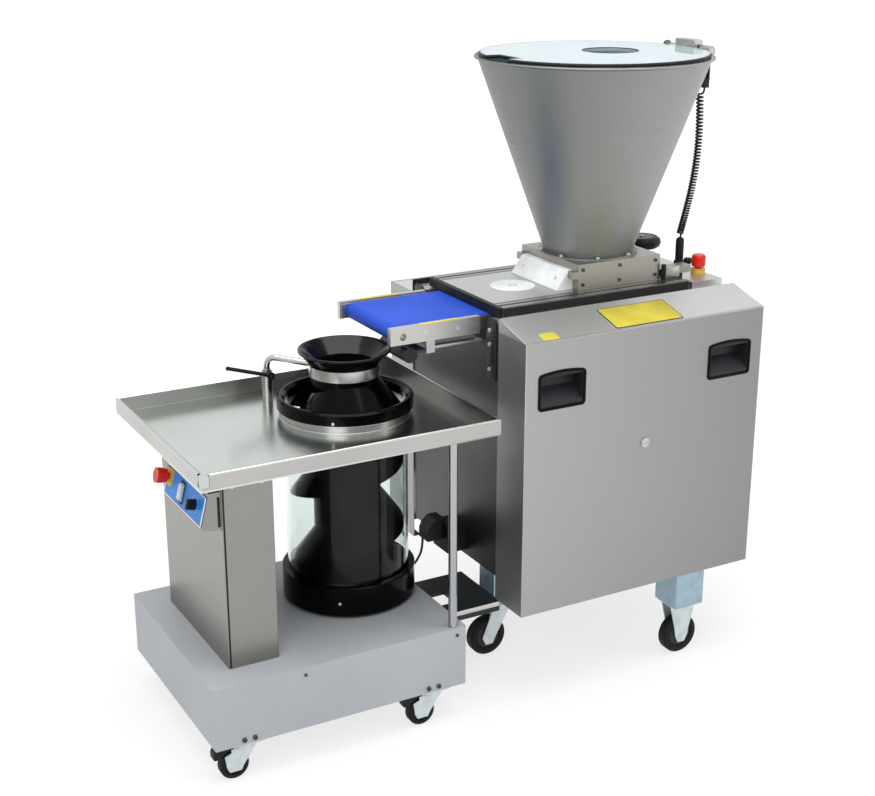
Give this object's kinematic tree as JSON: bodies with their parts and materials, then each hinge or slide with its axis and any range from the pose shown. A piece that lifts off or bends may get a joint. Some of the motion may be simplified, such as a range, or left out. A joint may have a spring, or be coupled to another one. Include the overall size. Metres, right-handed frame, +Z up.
{
  "type": "dough divider rounder",
  "caption": "Dough divider with a conical hopper and belt, docked to a spiral rounder with a clear drum, auger and table, on castors.",
  "frame": {"origin": "on the floor under the middle of the machine's bounding box", "axes": "+X from the rounder to the divider, +Y to the back, +Z up"},
  "size_m": [1.7072, 0.776, 1.7853],
  "materials": {
    "stainless": "brushed stainless sheet",
    "machined": "machined stainless",
    "zinc": "zinc plated",
    "grey_paint": "light grey powder coat",
    "black_paint": "black powder coat",
    "black_plastic": "moulded black plastic",
    "black_matte": "matt black plastic",
    "white_plastic": "white food-grade plastic",
    "clear": "clear acrylic",
    "blue_belt": "blue food-grade belt",
    "blue_panel": "blue front film",
    "red": "red button",
    "yellow": "yellow collar",
    "motor": "dark grey motor paint",
    "tyre": "black rubber tyre",
    "cord": "black cord sheath"
  },
  "bodies": {
    "machine": {"rounder_base": "grey_paint", "castor_mounts": "zinc", "column_casing": "stainless", "control_panel": "blue_panel", "stop_collars": "yellow", "table_tray": "stainless", "table_posts": "zinc", "drive_motor": "motor", "dock_frame": "black_paint", "divider_frame": "zinc", "divider_uprights": "zinc", "cabinet_body": "stainless", "rear_cover": "stainless", "slide_guides": "machined", "slide_end_bar": "black_matte", "plate_drive": "motor", "scraper": "white_plastic", "hopper_base": "machined", "hopper": "stainless", "lid_switch": "black_matte", "curly_lead": "cord", "lead_plug": "black_matte", "conveyor_frame": "stainless", "conveyor_belt": "blue_belt", "conveyor_motor": "motor", "power_socket": "black_matte", "power_lead": "cord"},
    "drum": {"drum_bowl": "black_plastic", "drum_tube": "clear", "drum_ring": "black_plastic"},
    "feeder": {"auger": "black_plastic", "funnel": "black_plastic", "feed_arm": "machined"},
    "cover": {"front_cover": "stainless", "cover_handles": "black_matte"},
    "lid_assembly": {"lid": "clear", "lid_hinge": "machined"},
    "plate": {"chamber_plate": "machined"},
    "rounder_fork_left": {"rounder_fork_left": "zinc"},
    "rounder_wheel_front_left": {"rounder_wheel_front_left": "tyre"},
    "brake_pedal_left": {"brake_pedal_left": "black_matte"},
    "rounder_wheel_rear_left": {"rounder_wheel_rear_left": "tyre"},
    "rounder_fork_right": {"rounder_fork_right": "zinc"},
    "rounder_wheel_front_right": {"rounder_wheel_front_right": "tyre"},
    "brake_pedal_right": {"brake_pedal_right": "black_matte"},
    "rounder_wheel_rear_right": {"rounder_wheel_rear_right": "tyre"},
    "divider_fork": {"divider_fork": "zinc"},
    "divider_wheel_left": {"divider_wheel_left": "tyre"},
    "divider_wheel_right_front": {"divider_wheel_right_front": "tyre"},
    "divider_wheel_right_rear": {"divider_wheel_right_rear": "tyre"},
    "rounder_stop_button": {"rounder_stop_button": "red"},
    "divider_stop_button": {"divider_stop_button": "red"},
    "start_switch": {"start_switch": "white_plastic"},
    "speed_knob": {"speed_knob": "black_matte"},
    "clamp_lever": {"clamp_lever": "black_matte"},
    "cover_latch": {"cover_latch": "machined"},
    "piston": {"piston": "white_plastic"},
    "handwheel": {"handwheel": "black_plastic"},
    "drive_roller": {"drive_roller": "machined"},
    "idler_roller": {"idler_roller": "machined"}
  },
  "joints": [
    {"name": "rounder_swivel_left", "type": "hinge", "parent": "machine", "child": "rounder_fork_left", "pos_m": [-0.755, -0.325, 0.105], "axis": [0, 0, 1], "continuous": true},
    {"name": "rounder_wheel_front_left_spin", "type": "hinge", "parent": "rounder_fork_left", "child": "rounder_wheel_front_left", "pos_m": [-0.791, -0.325, 0.04], "axis": [0, 1, 0], "continuous": true},
    {"name": "brake_pedal_left_press", "type": "hinge", "parent": "rounder_fork_left", "child": "brake_pedal_left", "pos_m": [-0.795, -0.325, 0.0865], "axis": [0, -1, 0], "range_deg": [0, 10]},
    {"name": "rounder_wheel_rear_left_spin", "type": "hinge", "parent": "machine", "child": "rounder_wheel_rear_left", "pos_m": [-0.755, 0.242, 0.04], "axis": [0, 1, 0], "continuous": true},
    {"name": "rounder_swivel_right", "type": "hinge", "parent": "machine", "child": "rounder_fork_right", "pos_m": [-0.203, -0.325, 0.105], "axis": [0, 0, 1], "continuous": true},
    {"name": "rounder_wheel_front_right_spin", "type": "hinge", "parent": "rounder_fork_right", "child": "rounder_wheel_front_right", "pos_m": [-0.239, -0.325, 0.04], "axis": [0, 1, 0], "continuous": true},
    {"name": "brake_pedal_right_press", "type": "hinge", "parent": "rounder_fork_right", "child": "brake_pedal_right", "pos_m": [-0.243, -0.325, 0.0865], "axis": [0, -1, 0], "range_deg": [0, 10]},
    {"name": "rounder_wheel_rear_right_spin", "type": "hinge", "parent": "machine", "child": "rounder_wheel_rear_right", "pos_m": [-0.203, 0.242, 0.04], "axis": [0, 1, 0], "continuous": true},
    {"name": "divider_swivel", "type": "hinge", "parent": "machine", "child": "divider_fork", "pos_m": [0.172, -0.064, 0.168], "axis": [0, 0, 1], "continuous": true},
    {"name": "divider_wheel_left_spin", "type": "hinge", "parent": "divider_fork", "child": "divider_wheel_left", "pos_m": [0.128, -0.064, 0.06], "axis": [0, 1, 0], "continuous": true},
    {"name": "divider_wheel_right_front_spin", "type": "hinge", "parent": "machine", "child": "divider_wheel_right_front", "pos_m": [0.645, -0.331, 0.06], "axis": [0, 1, 0], "continuous": true},
    {"name": "divider_wheel_right_rear_spin", "type": "hinge", "parent": "machine", "child": "divider_wheel_right_rear", "pos_m": [0.645, 0.331, 0.06], "axis": [0, 1, 0], "continuous": true},
    {"name": "rounder_stop_press", "type": "slide", "parent": "machine", "child": "rounder_stop_button", "axis": [0.968, 0, -0.251], "range_m": [0, 0.005], "stiffness_N_per_m": 600},
    {"name": "divider_stop_press", "type": "slide", "parent": "machine", "child": "divider_stop_button", "axis": [0, 0, -1], "range_m": [0, 0.005], "stiffness_N_per_m": 600},
    {"name": "start_switch_rock", "type": "hinge", "parent": "machine", "child": "start_switch", "pos_m": [-0.80911, -0.112, 0.72762], "axis": [0, 1, 0], "range_deg": [-8, 8]},
    {"name": "speed_knob_turn", "type": "hinge", "parent": "machine", "child": "speed_knob", "pos_m": [-0.81492, -0.204, 0.72913], "axis": [-0.968, 0, 0.251], "range_deg": [0, 270]},
    {"name": "drum_spin", "type": "hinge", "parent": "machine", "child": "drum", "pos_m": [-0.294, 0, 0.285], "axis": [0, 0, 1], "continuous": true},
    {"name": "feeder_lift", "type": "slide", "parent": "machine", "child": "feeder", "axis": [0, 0, 1], "range_m": [0, 0.03]},
    {"name": "clamp_lever_turn", "type": "hinge", "parent": "machine", "child": "clamp_lever", "pos_m": [-0.45468, 0.15173, 0.916], "axis": [0, 1, 0], "range_deg": [0, 60]},
    {"name": "front_cover_pull", "type": "slide", "parent": "machine", "child": "cover", "axis": [0, -1, 0], "range_m": [0, 0.25]},
    {"name": "cover_latch_turn", "type": "hinge", "parent": "cover", "child": "cover_latch", "pos_m": [0.45, -0.385, 0.727], "axis": [0, 1, 0], "range_deg": [0, 90]},
    {"name": "plate_slide", "type": "slide", "parent": "machine", "child": "plate", "axis": [1, 0, 0], "range_m": [0, 0.19]},
    {"name": "piston_slide", "type": "slide", "parent": "plate", "child": "piston", "axis": [0, 0, 1], "range_m": [-0.08, 0]},
    {"name": "lid_swing", "type": "hinge", "parent": "machine", "child": "lid_assembly", "pos_m": [0.836, 0, 1.7603], "axis": [0, 1, 0], "range_deg": [0, 90]},
    {"name": "handwheel_turn", "type": "hinge", "parent": "machine", "child": "handwheel", "pos_m": [0.78, 0.112, 1.16], "axis": [0, 0, 1], "continuous": true},
    {"name": "drive_roller_spin", "type": "hinge", "parent": "machine", "child": "drive_roller", "pos_m": [0.1292, 0, 1.0692], "axis": [0, 1, 0], "continuous": true},
    {"name": "idler_roller_spin", "type": "hinge", "parent": "machine", "child": "idler_roller", "pos_m": [-0.1972, 0, 1.0692], "axis": [0, 1, 0], "continuous": true}
  ],
  "couplings": [
    {"joint": "idler_roller_spin", "follows": "drive_roller_spin", "ratio": 1}
  ]
}
